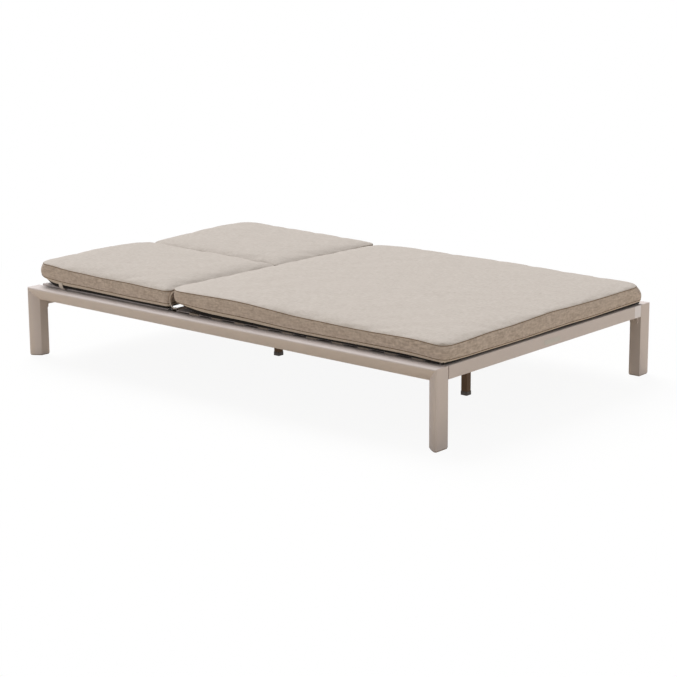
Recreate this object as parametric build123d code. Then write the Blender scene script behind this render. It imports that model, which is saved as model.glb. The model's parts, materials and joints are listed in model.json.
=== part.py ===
from build123d import *
import os
from math import atan2, cos, hypot, pi

# Double chaise lounger for a terrace: an aluminium frame on four mitred corner legs and two
# slim middle legs, a slatted deck, one wide seat cushion and two backrests side by side.
# Each backrest tips up on its own hinge and is propped by a stay that walks along notched rails.
# X runs across the lounger, Y from the foot end (minus) to the head end (plus), Z is up.
# The origin lies on the ground under the middle of the frame.

# Overall size of the frame
overall_width = 1290.0
overall_length = 2000.0
frame_height = 270.0

# Gaps between pieces
weld_overrun = 1.0
body_gap = 0.5
soft_gap = 0.4
running_gap = 0.05

# Side frames: one hollow extrusion, mitred into a rail and two legs, its outer side leaning in
side_top_width = 66.0
side_bottom_width = 38.5
side_depth = 46.0
side_bulge = 2.3
side_wall = 2.5
glide_thickness = 4.0
glide_plug_height = 18.0
glide_plug_gap = 0.2

# Foot rail and the lower head rail
rail_height = 45.0
rail_depth = 30.0
rail_wall = 2.0
rail_corner = 2.5
rail_setback = 1.0
head_rail_drop = 30.0

# Plates that carry the rails on the legs, and their bolts
plate_thickness = 5.0
plate_edge_gap = 2.0
plate_hang = 29.0
plate_corner = 9.0
head_plate_drop = 13.0
bolt_radius = 3.0
bolt_head_radius = 5.0
bolt_head_height = 3.0
bolt_tail = 4.0
bolt_spacing = 20.0
bolt_side_edge = 7.0
bolt_low_edge = 13.0

# Seat deck
deck_rise = 5.0
slat_width = 64.0
slat_thickness = 12.0
slat_wall = 1.5
slat_corner = 3.0
slat_end_gap = 2.0
seat_slat_count = 11
slat_rail_gap = 3.0
ledge_width = 20.0
ledge_height = 20.0
ledge_wall = 1.5
beam_corner = 2.0
beam_wall = 2.0
centre_beam_width = 25.0
centre_beam_height = 38.0
rear_beam_height = 25.0

# Middle legs, square tubes in plastic shoes, left of the centre line
middle_leg_size = 25.0
middle_leg_wall = 1.5
middle_leg_corner = 1.5
middle_leg_foot_offset = 342.0
middle_leg_head_room = 8.0
shoe_wall = 1.5
shoe_floor = 3.0
shoe_height = 14.0

# Backrest hinge line, measured from the head end of the frame
backrest_length = 731.0
deck_end_gap = 40.0
hinge_beam_lead = 22.0
hinge_beam_depth = 25.0
hinge_beam_height = 30.0
bracket_metal = 3.0
bracket_foot = 15.0
ear_radius = 12.0
hinge_pin_radius = 4.0
pin_head_radius = 8.0
pin_head_height = 2.5
bush_wall = 2.0

# Backrest frames
backrest_side_gap = 7.0
backrest_centre_gap = 14.0
backrest_head_setback = 15.0
tube_size = 25.0
tube_wall = 2.0
tube_corner = 3.0
tube_end_margin = 9.0
plug_thickness = 2.0
plug_depth = 12.0
cross_tube_radius = 8.0
cross_tube_offset = 21.0
cross_tube_wall = 1.5
backrest_slat_count = 5
first_slat_offset = 72.0
last_slat_gap = 16.0
bumper_radius = 7.0
bumper_inset = 80.0

# Prop stays and the notched rails that they stand on
stay_end_gap = 7.0
arm_height = 12.0
arm_thickness = 5.0
stay_pin_radius = 4.0
stay_pin_head_height = 2.5
stay_pin_tail = 6.0
foot_bar_wall = 1.5
track_gap = 0.5
notched_rail_thickness = 5.0
notched_rail_gap = 4.5
notched_rail_below = 21.0
notch_drop = 6.0
notch_gap = 0.5
track_margin = 20.0
notch_angles = (20, 35, 48, 60)

# Cushions: a bottom pulled flat on the deck, an upright border and a crowned top
cushion_side_setback = 51.0
cushion_foot_setback = 10.0
cushion_head_setback = 6.0
cushion_split = 2.0
cushion_travel = 80.0
bottom_rise = 12.6
border_height = 58.0
crown_height = 14.0
border_bulge = 3.0
bottom_inset = 16.0
cushion_corner = 38.0
side_draw = 4.0
crown_reach_share = 0.6
crown_shares = (0.03, 0.1, 0.25, 0.5, 1.0)
corner_growth_share = 0.3

# Webbing loops that hold a backrest cushion on its side tubes
strap_width = 21.0
strap_thickness = 1.5

# Places worked out from the sizes above
half_width = overall_width / 2
half_length = overall_length / 2
inner_half = half_width - side_top_width
deck_top = frame_height + deck_rise
deck_bottom = deck_top - slat_thickness
hinge_offset = half_length - backrest_length
foot_rail_back = -half_length + rail_setback + rail_depth
head_rail_front = half_length - rail_setback - rail_depth
head_rail_top = frame_height - head_rail_drop
hinge_height = deck_top - tube_size / 2
hinge_beam_top = hinge_height - tube_size / 2 - bracket_metal - body_gap * 2 - bush_wall * 2
hinge_beam_low = hinge_beam_top - hinge_beam_height
hinge_beam_middle = hinge_offset - hinge_beam_lead
hinge_beam_span = (hinge_beam_middle - hinge_beam_depth / 2, hinge_beam_middle + hinge_beam_depth / 2)
deck_end = hinge_offset - deck_end_gap
backrest_head = half_length - backrest_head_setback
head_tube_front = backrest_head - tube_size
backrest_half = inner_half - backrest_side_gap
outer_tube_span = (-backrest_half, -backrest_half + tube_size)
inner_tube_span = (-backrest_centre_gap / 2 - tube_size, -backrest_centre_gap / 2)
tube_span = (deck_top - tube_size, deck_top)
bay_span = (outer_tube_span[1], inner_tube_span[0])
strap_end = head_tube_front - cushion_travel - body_gap * 2
strap_span = (strap_end - strap_width, strap_end)
foot_bar_radius = arm_height / 2
stay_level = deck_bottom - body_gap - arm_height / 2
stay_drop = hinge_height - stay_level
stay_pivot_offset = (strap_span[0] - stay_end_gap - foot_bar_radius - hinge_offset) / 2
stay_length = hypot(stay_pivot_offset, stay_drop)
stay_pivot = hinge_offset + stay_pivot_offset
foot_bar_rest = stay_pivot_offset + stay_length
track_slope = stay_drop / foot_bar_rest
fold_half_gap = cushion_split / 2
cushion_low = deck_top + soft_gap
bottom_seam = cushion_low + bottom_rise
top_seam = bottom_seam + border_height
plate_low = frame_height - rail_height - plate_hang
plate_inside = half_length - side_depth + plate_edge_gap

nodes = {}


def add(name, *solids):
    """Keep one piece, or a group of separate like pieces, under its name."""
    nodes[name] = solids[0] if len(solids) == 1 else Compound(children=list(solids))


def flipped(solid):
    """The same piece on the right side of the lounger."""
    return mirror(solid, about=Plane.YZ)


def add_pair(name, *solids):
    """Keep a left piece, and its mirror image as the right one."""
    add(name.format("left"), *solids)
    add(name.format("right"), *[flipped(solid) for solid in solids])


def block(x_span, y_span, z_span):
    """A rectangular block between pairs of coordinates."""
    spans = (x_span, y_span, z_span)
    middle = [(low + high) / 2 for low, high in spans]
    return Pos(*middle) * Box(*[high - low for low, high in spans])


def tube(x_span, y_span, z_span, axis, wall, corner):
    """A hollow bar of rectangular section along one axis, its long edges rounded."""
    outer = fillet(block(x_span, y_span, z_span).edges().filter_by(axis), corner)
    bore = []
    for (low, high), own in zip((x_span, y_span, z_span), (Axis.X, Axis.Y, Axis.Z)):
        step = -weld_overrun if own == axis else wall
        bore.append((low + step, high - step))
    return outer - block(*bore)


def rod(radius, x_span, y, z):
    """A round bar along X."""
    length = x_span[1] - x_span[0]
    return Pos((x_span[0] + x_span[1]) / 2, y, z) * Rot(0, 90, 0) * Cylinder(radius, length)


def plate_in_yz(points, x_span):
    """A flat plate that stands along the lounger, from an outline of Y and Z."""
    face = make_face(Plane.YZ * Polyline(*points, close=True))
    return Pos(x_span[0], 0, 0) * extrude(face, x_span[1] - x_span[0], dir=(1, 0, 0))


def side_section(inset):
    """Section of the side extrusion: flat inside, top and underside, bulged leaning outer side."""
    lean = side_top_width - side_bottom_width
    slant = hypot(lean, side_depth)
    pull = inset * slant / side_depth
    top_out = side_top_width - lean * inset / side_depth - pull
    low_out = side_bottom_width + lean * inset / side_depth - pull
    bulge_u = side_bulge * side_depth / slant
    bulge_v = side_bulge * lean / slant
    middle = ((top_out + low_out) / 2 + bulge_u, side_depth / 2 + bulge_v)
    corners = [(inset, inset), (top_out, inset), (low_out, side_depth - inset), (inset, side_depth - inset)]
    outline = [
        Line(corners[0], corners[1]),
        ThreePointArc(corners[1], middle, corners[2]),
        Line(corners[2], corners[3]),
        Line(corners[3], corners[0]),
    ]
    return make_face(Wire(outline))


def side_bar(plane, length):
    """A length of the hollow side extrusion."""
    outer = extrude(plane * side_section(0), length)
    bore = extrude(plane * side_section(side_wall), length)
    return outer - bore


def side_frames():
    """Rails and legs of both sides, and the glides in the legs' lower ends."""
    rail_plane = Plane(origin=(-inner_half, half_length, frame_height), x_dir=(-1, 0, 0), z_dir=(0, -1, 0))
    leg_plane = Plane(origin=(-inner_half, -half_length, frame_height), x_dir=(-1, 0, 0), z_dir=(0, 0, -1))
    foot_mitre = Plane(origin=(0, -half_length, frame_height), z_dir=(0, 1, 1))
    head_mitre = Plane(origin=(0, half_length, frame_height), z_dir=(0, -1, 1))
    rail = side_bar(rail_plane, overall_length)
    rail = split(rail, bisect_by=foot_mitre, keep=Keep.TOP)
    rail = split(rail, bisect_by=head_mitre, keep=Keep.TOP)
    add_pair("side_rail_{}", rail)
    leg = side_bar(leg_plane, frame_height - glide_thickness)
    leg = split(leg, bisect_by=foot_mitre, keep=Keep.BOTTOM)
    leg = leg - bracket_bolt_holes(-1)
    add_pair("leg_foot_{}", leg)
    head_leg = mirror(side_bar(leg_plane, frame_height - glide_thickness), about=Plane.XZ)
    head_leg = split(head_leg, bisect_by=head_mitre, keep=Keep.BOTTOM) - bracket_bolt_holes(1)
    add_pair("leg_head_{}", head_leg)
    flange = extrude(leg_plane.offset(frame_height - glide_thickness) * side_section(0), glide_thickness)
    plug_plane = leg_plane.offset(frame_height - glide_thickness - glide_plug_height)
    plug = extrude(plug_plane * side_section(side_wall + glide_plug_gap), glide_plug_height)
    glide = flange + plug
    head_glide = mirror(glide, about=Plane.XZ)
    add("leg_glides", glide, head_glide, flipped(glide), flipped(head_glide))


def end_rails():
    """The foot rail, flush with the legs, and the head rail set lower, clear of the backrests."""
    span = (-inner_half + plate_thickness, inner_half - plate_thickness)
    foot_span = (-half_length + rail_setback, foot_rail_back)
    head_span = (head_rail_front, half_length - rail_setback)
    foot_heights = (frame_height - rail_height, frame_height)
    head_heights = (head_rail_top - rail_height, head_rail_top)
    add("foot_rail", tube(span, foot_span, foot_heights, Axis.X, rail_wall, rail_corner))
    add("head_rail", tube(span, head_span, head_heights, Axis.X, rail_wall, rail_corner))


def bracket_bolt_places(end):
    """Y and Z of the two bolts in a left plate: side by side under the foot rail, or one above
    the other in front of the head rail."""
    if end < 0:
        middle = (plate_inside + half_length - rail_setback) / 2
        height = plate_low + bolt_low_edge
        return [(-middle - bolt_spacing / 2, height), (-middle + bolt_spacing / 2, height)]
    depth = plate_inside + bolt_side_edge
    height = plate_low - head_plate_drop + bolt_low_edge
    return [(depth, height), (depth, height + bolt_spacing)]


def bracket_bolt_holes(end):
    """Bores for the bolts through a left plate and the wall of its leg."""
    span = (-inner_half - side_wall - weld_overrun, -inner_half + plate_thickness + weld_overrun)
    bores = [rod(bolt_radius, span, y, z) for y, z in bracket_bolt_places(end)]
    return bores[0] + bores[1]


def rail_brackets():
    """Plates between the rails' ends and the legs, with their bolts."""
    span = (-inner_half, -inner_half + plate_thickness)
    bolts = []
    for end, place, drop in ((-1, "foot", 0), (1, "head", head_plate_drop)):
        depth_span = sorted((end * plate_inside, end * (half_length - rail_setback)))
        plate = block(span, depth_span, (plate_low - drop, deck_bottom - drop))
        low_edges = plate.edges().filter_by(Axis.X).sort_by(Axis.Z)[0:2]
        plate = fillet(low_edges, plate_corner) - bracket_bolt_holes(end)
        add_pair("rail_bracket_" + place + "_{}", plate)
        for y, z in bracket_bolt_places(end):
            shank = rod(bolt_radius, (span[0] - side_wall - bolt_tail, span[1]), y, z)
            head = rod(bolt_head_radius, (span[1], span[1] + bolt_head_height), y, z)
            bolts.append(shank + head)
    add("bracket_bolts", *bolts, *[flipped(bolt) for bolt in bolts])


def slat(x_span, y_low):
    """One hollow deck slat across the given span."""
    y_span = (y_low, y_low + slat_width)
    return tube(x_span, y_span, (deck_bottom, deck_top), Axis.X, slat_wall, slat_corner)


def spread(first, last, count):
    """Front edges of equally spaced slats between two limits."""
    pitch = (last - first - slat_width) / (count - 1)
    return [first + pitch * index for index in range(count)]


def seat_deck():
    """Side ledges, centre beams and the slats that carry the seat cushion."""
    ledge_span = (-inner_half, -inner_half + ledge_width)
    ledge_run = (-plate_inside, deck_end)
    ledge_heights = (deck_bottom - ledge_height, deck_bottom)
    add_pair("seat_ledge_{}", tube(ledge_span, ledge_run, ledge_heights, Axis.Y, ledge_wall, beam_corner))
    beam_span = (-centre_beam_width / 2, centre_beam_width / 2)
    seat_run = (foot_rail_back, hinge_beam_span[0])
    seat_heights = (deck_bottom - centre_beam_height, deck_bottom)
    add("seat_centre_beam", tube(beam_span, seat_run, seat_heights, Axis.Y, beam_wall, beam_corner))
    rear_run = (hinge_beam_span[1], head_rail_front)
    rear_heights = (head_rail_top - rear_beam_height, head_rail_top)
    add("rear_centre_beam", tube(beam_span, rear_run, rear_heights, Axis.Y, beam_wall, beam_corner))
    slat_span = (-inner_half + slat_end_gap, inner_half - slat_end_gap)
    first = foot_rail_back + slat_rail_gap
    add("seat_slats", *[slat(slat_span, y) for y in spread(first, deck_end, seat_slat_count)])


def middle_legs():
    """A leg bolted beside the seat beam, a leg under the hinge beam, and their shoes."""
    x_span = (-centre_beam_width / 2 - middle_leg_size, -centre_beam_width / 2)
    foot_middle = -half_length + middle_leg_foot_offset
    foot_top = deck_bottom - middle_leg_head_room
    places = (("foot", foot_middle, foot_top), ("head", hinge_beam_middle, hinge_beam_low))
    shoes = []
    for place, middle, top in places:
        y_span = (middle - middle_leg_size / 2, middle + middle_leg_size / 2)
        leg = tube(x_span, y_span, (shoe_floor, top), Axis.Z, middle_leg_wall, middle_leg_corner)
        add("middle_leg_" + place, leg)
        outer_x = (x_span[0] - shoe_wall, x_span[1] + shoe_wall)
        outer_y = (y_span[0] - shoe_wall, y_span[1] + shoe_wall)
        shoe = block(outer_x, outer_y, (0, shoe_height))
        shoe = fillet(shoe.edges().filter_by(Axis.Z), middle_leg_corner + shoe_wall)
        pocket = block(x_span, y_span, (shoe_floor, shoe_height + weld_overrun))
        shoes.append(shoe - fillet(pocket.edges().filter_by(Axis.Z), middle_leg_corner))
    add("middle_leg_shoes", *shoes)


def hinge_line():
    """The beam under the hinge line, with a bracket and a pin for each backrest tube."""
    beam_span = (-inner_half, inner_half)
    beam_heights = (hinge_beam_low, hinge_beam_top)
    add("hinge_beam", tube(beam_span, hinge_beam_span, beam_heights, Axis.X, beam_wall, beam_corner))
    foot_run = (hinge_beam_span[1] - bracket_foot, hinge_beam_span[1])
    foot_heights = (hinge_beam_top, hinge_beam_top + bracket_metal)
    outline = [
        (foot_run[0], hinge_beam_top),
        (foot_run[1], hinge_beam_top),
        (hinge_offset + ear_radius, hinge_height),
        (hinge_offset, hinge_height + ear_radius),
        (hinge_offset - ear_radius, hinge_height),
        (foot_run[0], foot_heights[1]),
    ]
    pins = []
    for place, carried in (("outer", outer_tube_span), ("inner", inner_tube_span)):
        ear_low = (carried[0] - body_gap - bracket_metal, carried[0] - body_gap)
        ear_high = (carried[1] + body_gap, carried[1] + body_gap + bracket_metal)
        bracket = block((ear_low[0], ear_high[1]), foot_run, foot_heights)
        for ear in (ear_low, ear_high):
            bracket += plate_in_yz(outline, ear)
            bracket += rod(ear_radius, ear, hinge_offset, hinge_height)
        pin_span = (ear_low[0], ear_high[1])
        bracket -= rod(hinge_pin_radius, pin_span, hinge_offset, hinge_height)
        add_pair("hinge_bracket_{}_" + place, bracket)
        pin = rod(hinge_pin_radius, pin_span, hinge_offset, hinge_height)
        near_head = (pin_span[0] - pin_head_height, pin_span[0])
        far_head = (pin_span[1], pin_span[1] + pin_head_height)
        for head in (near_head, far_head):
            pin += rod(pin_head_radius, head, hinge_offset, hinge_height)
        pins.append(pin)
    add("hinge_pins", *pins, *[flipped(pin) for pin in pins])


def track_height(distance):
    """Height of the foot bar's centre at a distance from the hinge line."""
    return hinge_height - distance * track_slope


def foot_bar_distance(angle):
    """Distance of the foot bar from the hinge line with the backrest raised by an angle."""
    start = atan2(stay_drop, foot_bar_rest) - atan2(stay_drop, stay_pivot_offset)
    return 2 * stay_length * cos(start + angle * pi / 180)


def notched_rails():
    """Rails inside each backrest's side tubes, with a notch for every stand of the stay."""
    low = hinge_beam_top - notched_rail_below
    near = foot_bar_distance(notch_angles[-1]) - track_margin
    far = foot_bar_rest + track_margin
    under = foot_bar_radius + track_gap
    outline = [
        (hinge_beam_span[1], low),
        (hinge_beam_span[1], hinge_beam_top),
        (hinge_offset + near - track_margin, hinge_beam_top),
        (hinge_offset + near, track_height(near) - under),
        (hinge_offset + far, track_height(far) - under),
        (hinge_offset + far + track_margin, head_rail_top),
        (head_rail_front, head_rail_top),
        (head_rail_front, low),
    ]
    reach = arm_thickness + body_gap + notched_rail_gap
    outer = (bay_span[0] + reach, bay_span[0] + reach + notched_rail_thickness)
    inner = (bay_span[1] - reach - notched_rail_thickness, bay_span[1] - reach)
    for place, span in (("outer", outer), ("inner", inner)):
        rail = plate_in_yz(outline, span)
        cut_span = (span[0] - weld_overrun, span[1] + weld_overrun)
        for angle in notch_angles:
            distance = foot_bar_distance(angle)
            seat = track_height(distance) - notch_drop
            rail -= rod(foot_bar_radius + notch_gap, cut_span, hinge_offset + distance, seat)
        add_pair("notched_rail_{}_" + place, rail)


def rest_bumpers():
    """Rubber buttons on the head rail that the flat backrests lie on."""
    height = tube_span[0] - body_gap - head_rail_top
    y = head_rail_front + bumper_radius + body_gap
    z = head_rail_top + height / 2
    places = (bay_span[0] + bumper_inset, bay_span[1] - bumper_inset)
    bumpers = [Pos(x, y, z) * Cylinder(bumper_radius, height) for x in places]
    add("rest_bumpers", *bumpers, *[flipped(bumper) for bumper in bumpers])


def backrest_frame():
    """Two side tubes on bushes, a head tube, a cross tube, slats and the stay's pivot pins."""
    run = (hinge_offset - tube_end_margin, backrest_head)
    bushes = []
    plugs = []
    pins = []
    bush_radius = hinge_pin_radius + bush_wall
    for place, span in (("outer", outer_tube_span), ("inner", inner_tube_span)):
        bar = tube(span, run, tube_span, Axis.Y, tube_wall, tube_corner)
        bar -= rod(bush_radius, span, hinge_offset, hinge_height)
        inward = 1 if place == "outer" else -1
        face = span[1] if place == "outer" else span[0]
        shoulder = face + inward * (body_gap + arm_thickness + running_gap)
        shank_span = sorted((face - inward * (tube_wall + stay_pin_tail), shoulder))
        shank = rod(stay_pin_radius, shank_span, stay_pivot, stay_level)
        bar -= shank
        head_span = sorted((shoulder, shoulder + inward * stay_pin_head_height))
        pins.append(shank + rod(foot_bar_radius, head_span, stay_pivot, stay_level))
        bush = rod(bush_radius, span, hinge_offset, hinge_height)
        bushes.append(bush - rod(hinge_pin_radius + running_gap, span, hinge_offset, hinge_height))
        cap = block(span, (backrest_head, backrest_head + plug_thickness), tube_span)
        cap = fillet(cap.edges().filter_by(Axis.Y), tube_corner)
        stem_x = (span[0] + tube_wall, span[1] - tube_wall)
        stem_z = (tube_span[0] + tube_wall, tube_span[1] - tube_wall)
        plugs.append(cap + block(stem_x, (backrest_head - plug_depth, backrest_head), stem_z))
        add_pair("backrest_{}_" + place + "_tube", bar)
    add_pair("backrest_{}_end_plugs", *plugs)
    add_pair("backrest_{}_bushes", *bushes)
    add_pair("backrest_{}_stay_pins", *pins)
    head = tube(bay_span, (head_tube_front, backrest_head), tube_span, Axis.X, tube_wall, tube_corner)
    add_pair("backrest_{}_head_tube", head)
    cross_z = tube_span[0] + cross_tube_radius
    cross = rod(cross_tube_radius, bay_span, hinge_offset + cross_tube_offset, cross_z)
    cross -= rod(cross_tube_radius - cross_tube_wall, bay_span, hinge_offset + cross_tube_offset, cross_z)
    add_pair("backrest_{}_cross_tube", cross)
    first = hinge_offset + first_slat_offset
    last = strap_span[0] - last_slat_gap
    add_pair("backrest_{}_slats", *[slat(bay_span, y) for y in spread(first, last, backrest_slat_count)])


def prop_stay():
    """Two arms on the stay pins, joined by the foot bar that stands in the notches."""
    foot = hinge_offset + foot_bar_rest
    outer = (bay_span[0] + body_gap, bay_span[0] + body_gap + arm_thickness)
    inner = (bay_span[1] - body_gap - arm_thickness, bay_span[1] - body_gap)
    arms = []
    for span in (outer, inner):
        heights = (stay_level - arm_height / 2, stay_level + arm_height / 2)
        arm = block(span, (stay_pivot, foot), heights)
        for end in (stay_pivot, foot):
            arm += rod(arm_height / 2, span, end, stay_level)
        arms.append(arm - rod(stay_pin_radius + running_gap, span, stay_pivot, stay_level))
    add_pair("stay_{}_arms", *arms)
    bar = rod(foot_bar_radius, (outer[1], inner[0]), foot, stay_level)
    bar -= rod(foot_bar_radius - foot_bar_wall, (outer[1], inner[0]), foot, stay_level)
    add_pair("stay_{}_foot_bar", bar)


def cushion_section(x_span, y_span, draws, inset, height):
    """Plan outline of a cushion at one height: arcs drawn in between rounded corners."""
    x0, x1 = x_span[0] + inset, x_span[1] - inset
    y0, y1 = y_span[0] + inset, y_span[1] - inset
    radius = cushion_corner + max(inset, 0) * corner_growth_share
    chord = radius - radius * cos(pi / 4)
    left, right, front, back = draws
    middle_x, middle_y = (x0 + x1) / 2, (y0 + y1) / 2
    edges = [
        ThreePointArc((x0 + radius, y0), (middle_x, y0 + front), (x1 - radius, y0)),
        ThreePointArc((x1 - radius, y0), (x1 - chord, y0 + chord), (x1, y0 + radius)),
        ThreePointArc((x1, y0 + radius), (x1 - right, middle_y), (x1, y1 - radius)),
        ThreePointArc((x1, y1 - radius), (x1 - chord, y1 - chord), (x1 - radius, y1)),
        ThreePointArc((x1 - radius, y1), (middle_x, y1 - back), (x0 + radius, y1)),
        ThreePointArc((x0 + radius, y1), (x0 + chord, y1 - chord), (x0, y1 - radius)),
        ThreePointArc((x0, y1 - radius), (x0 + left, middle_y), (x0, y0 + radius)),
        ThreePointArc((x0, y0 + radius), (x0 + chord, y0 + chord), (x0 + radius, y0)),
    ]
    return Pos(0, 0, height) * make_face(Wire(edges))


def cushion(x_span, y_span, draws):
    """A boxed cushion: a narrow flat bottom, a bulged border and a crown that rises to the middle."""
    reach = min(x_span[1] - x_span[0], y_span[1] - y_span[0]) / 2 * crown_reach_share
    levels = [
        (bottom_inset, cushion_low),
        (0, bottom_seam),
        (-border_bulge, bottom_seam + border_height / 2),
        (0, top_seam),
    ]
    for share in crown_shares:
        rise = crown_height * (1 - (1 - share) ** 2)
        levels.append((reach * share, top_seam + rise))
    sections = [cushion_section(x_span, y_span, draws, inset, height) for inset, height in levels]
    return loft(sections, ruled=True)


def cushions():
    """One wide seat cushion and two backrest cushions with their webbing loops."""
    meet = fold_half_gap + border_bulge
    cushion_half = half_width - cushion_side_setback
    seat_x = (-cushion_half, cushion_half)
    seat_y = (-half_length + cushion_foot_setback, hinge_offset - meet)
    seat_draws = (side_draw, side_draw, side_draw, soft_gap)
    add("seat_cushion", cushion(seat_x, seat_y, seat_draws))
    back_x = (-cushion_half, -meet)
    back_y = (hinge_offset + meet, half_length - cushion_head_setback)
    back_draws = (side_draw, soft_gap, soft_gap, side_draw)
    add_pair("backrest_cushion_{}", cushion(back_x, back_y, back_draws))
    straps = []
    for span in (outer_tube_span, inner_tube_span):
        inside = (span[0] - soft_gap, span[1] + soft_gap)
        outside = (inside[0] - strap_thickness, inside[1] + strap_thickness)
        under = tube_span[0] - soft_gap
        band = block(outside, strap_span, (under - strap_thickness, cushion_low))
        straps.append(band - block(inside, strap_span, (under, cushion_low)))
    add_pair("backrest_straps_{}", *straps)


side_frames()
end_rails()
rail_brackets()
seat_deck()
middle_legs()
hinge_line()
notched_rails()
rest_bumpers()
backrest_frame()
prop_stay()
cushions()

os.makedirs("parts", exist_ok=True)
for name, shape in nodes.items():
    export_step(shape, os.path.join("parts", name + ".step"))
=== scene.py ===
# %% [markdown]
# # Double chaise lounger
# A low terrace bed of powder coated aluminium with one broad seat cushion and a pair of
# backrest cushions. The measured frame comes in first, because every soft piece and every
# finish below is placed against it. All lengths are in metres.

# %% Load the measured frame
import json
import math

import bmesh
import bpy
import numpy as np
from mathutils import Matrix, Vector


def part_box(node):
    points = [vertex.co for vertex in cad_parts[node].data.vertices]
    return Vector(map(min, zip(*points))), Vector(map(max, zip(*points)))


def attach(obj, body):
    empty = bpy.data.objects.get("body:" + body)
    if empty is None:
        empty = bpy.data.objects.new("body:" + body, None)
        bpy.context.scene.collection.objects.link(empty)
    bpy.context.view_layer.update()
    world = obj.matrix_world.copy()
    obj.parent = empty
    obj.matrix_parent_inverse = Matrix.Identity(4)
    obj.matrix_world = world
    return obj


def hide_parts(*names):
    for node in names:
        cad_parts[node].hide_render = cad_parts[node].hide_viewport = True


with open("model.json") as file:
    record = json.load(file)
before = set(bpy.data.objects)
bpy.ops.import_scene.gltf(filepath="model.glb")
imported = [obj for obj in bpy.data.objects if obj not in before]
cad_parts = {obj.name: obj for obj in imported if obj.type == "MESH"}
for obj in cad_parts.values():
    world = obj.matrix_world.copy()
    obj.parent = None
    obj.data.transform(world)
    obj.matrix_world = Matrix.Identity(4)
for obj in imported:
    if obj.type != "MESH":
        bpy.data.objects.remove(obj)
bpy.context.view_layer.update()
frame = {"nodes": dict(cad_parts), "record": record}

MM = 0.001
nodes = frame["nodes"]
print("frame nodes:", len(nodes))

# %% [markdown]
# ## Camera
# The photograph was taken from the near left corner, from a standing height some six metres
# away. A long lens that tilts down eleven degrees keeps the legs almost upright, and a small
# shift finishes the framing, so the same camera also works when it is carried round the object.

# %% Camera
PHOTO_SIDE_PX = 677.0
FOCAL_PX = 1684.85
SENSOR_MM = 36.0
CAMERA_PLACE = (-4.6688, -4.1027, 1.5917)
CAMERA_AZIMUTH = math.radians(-48.9844)
CAMERA_ELEVATION = math.radians(11.4384)
CAMERA_ROLL = math.radians(-0.3666)
CAMERA_SHIFT = -0.09
CAMERA_SEES_TO = 200.0


def placed(name, data):
    """A new object with its data, linked to the scene."""
    made = bpy.data.objects.new(name, data)
    bpy.context.scene.collection.objects.link(made)
    return made


def aim(azimuth, elevation, roll):
    """Rotation whose back direction is (sin a cos e, -cos a cos e, sin e), rolled about itself."""
    back = Vector((
        math.sin(azimuth) * math.cos(elevation),
        -math.cos(azimuth) * math.cos(elevation),
        math.sin(elevation),
    ))
    right = Vector((math.cos(azimuth), math.sin(azimuth), 0.0))
    up = back.cross(right)
    turned_right = right * math.cos(roll) + up * math.sin(roll)
    turned_up = up * math.cos(roll) - right * math.sin(roll)
    return Matrix((turned_right, turned_up, back)).transposed()


camera_data = bpy.data.cameras.new("camera")
camera_data.sensor_width = SENSOR_MM
camera_data.lens = FOCAL_PX * SENSOR_MM / PHOTO_SIDE_PX
camera_data.shift_y = CAMERA_SHIFT
camera_data.clip_end = CAMERA_SEES_TO
camera = placed("camera", camera_data)
camera.location = CAMERA_PLACE
camera.rotation_euler = aim(CAMERA_AZIMUTH, CAMERA_ELEVATION, CAMERA_ROLL).to_euler()
bpy.context.scene.camera = camera
print("lens:", round(camera_data.lens, 2), "mm")

# %% [markdown]
# ## Finishes
# Each finish is a small node tree that starts from the real material's common name. Colours are
# written as sRGB hex values and turned to linear light by one function. Patterns read Object
# coordinates, and since every piece keeps its place in its mesh, a pattern neither slides nor
# turns when a backrest moves.

# %% Colours and nodes
def linear(hex_colour):
    """sRGB hex to linear: c / 12.92 below 0.04045, else ((c + 0.055) / 1.055) ** 2.4."""
    parts = [int(hex_colour[i:i + 2], 16) / 255 for i in (0, 2, 4)]
    return tuple(c / 12.92 if c <= 0.04045 else ((c + 0.055) / 1.055) ** 2.4 for c in parts) + (1.0,)


def node(tree, kind, links=(), values=(), **settings):
    """Adds a node with its properties, sets its input sockets by name, and links its inputs."""
    made = tree.nodes.new(kind)
    for key, value in settings.items():
        setattr(made, key, value)
    for socket, value in dict(values).items():
        made.inputs[socket].default_value = value
    for socket, source in dict(links).items():
        tree.links.new(source, made.inputs[socket])
    return made


def material(name):
    """A new node material, with its tree, its shader and its Object coordinates."""
    made = bpy.data.materials.new(name)
    made.use_nodes = True
    tree = made.node_tree
    return made, tree, tree.nodes["Principled BSDF"], node(tree, "ShaderNodeTexCoord").outputs["Object"]


# %% Sums, blends and patterns
def arithmetic(tree, operation, *terms):
    """One arithmetic step on sockets and numbers, such as MULTIPLY_ADD of three terms."""
    made = node(tree, "ShaderNodeMath", operation=operation)
    for index, term in enumerate(terms):
        if isinstance(term, (int, float)):
            made.inputs[index].default_value = term
        else:
            tree.links.new(term, made.inputs[index])
    return made.outputs[0]


def blend_colours(tree, share, first, second):
    """Colour between two colours or sockets by a share socket."""
    made = node(tree, "ShaderNodeMix", {0: share}, data_type="RGBA")
    for index, colour in ((6, first), (7, second)):
        if isinstance(colour, tuple):
            made.inputs[index].default_value = colour
        else:
            tree.links.new(colour, made.inputs[index])
    return made.outputs[2]


def grain(tree, place, size_mm, detail=2.0, stretch=(1.0, 1.0, 1.0)):
    """Noise whose blobs are about size_mm across, drawn out along the axes by stretch."""
    scale = tuple(1.0 / (s * size_mm * MM) for s in stretch)
    drawn = node(tree, "ShaderNodeMapping", {"Vector": place}, {"Scale": scale})
    values = {"Scale": 1.0, "Detail": detail}
    return node(tree, "ShaderNodeTexNoise", {"Vector": drawn.outputs[0]}, values).outputs["Fac"]


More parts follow.
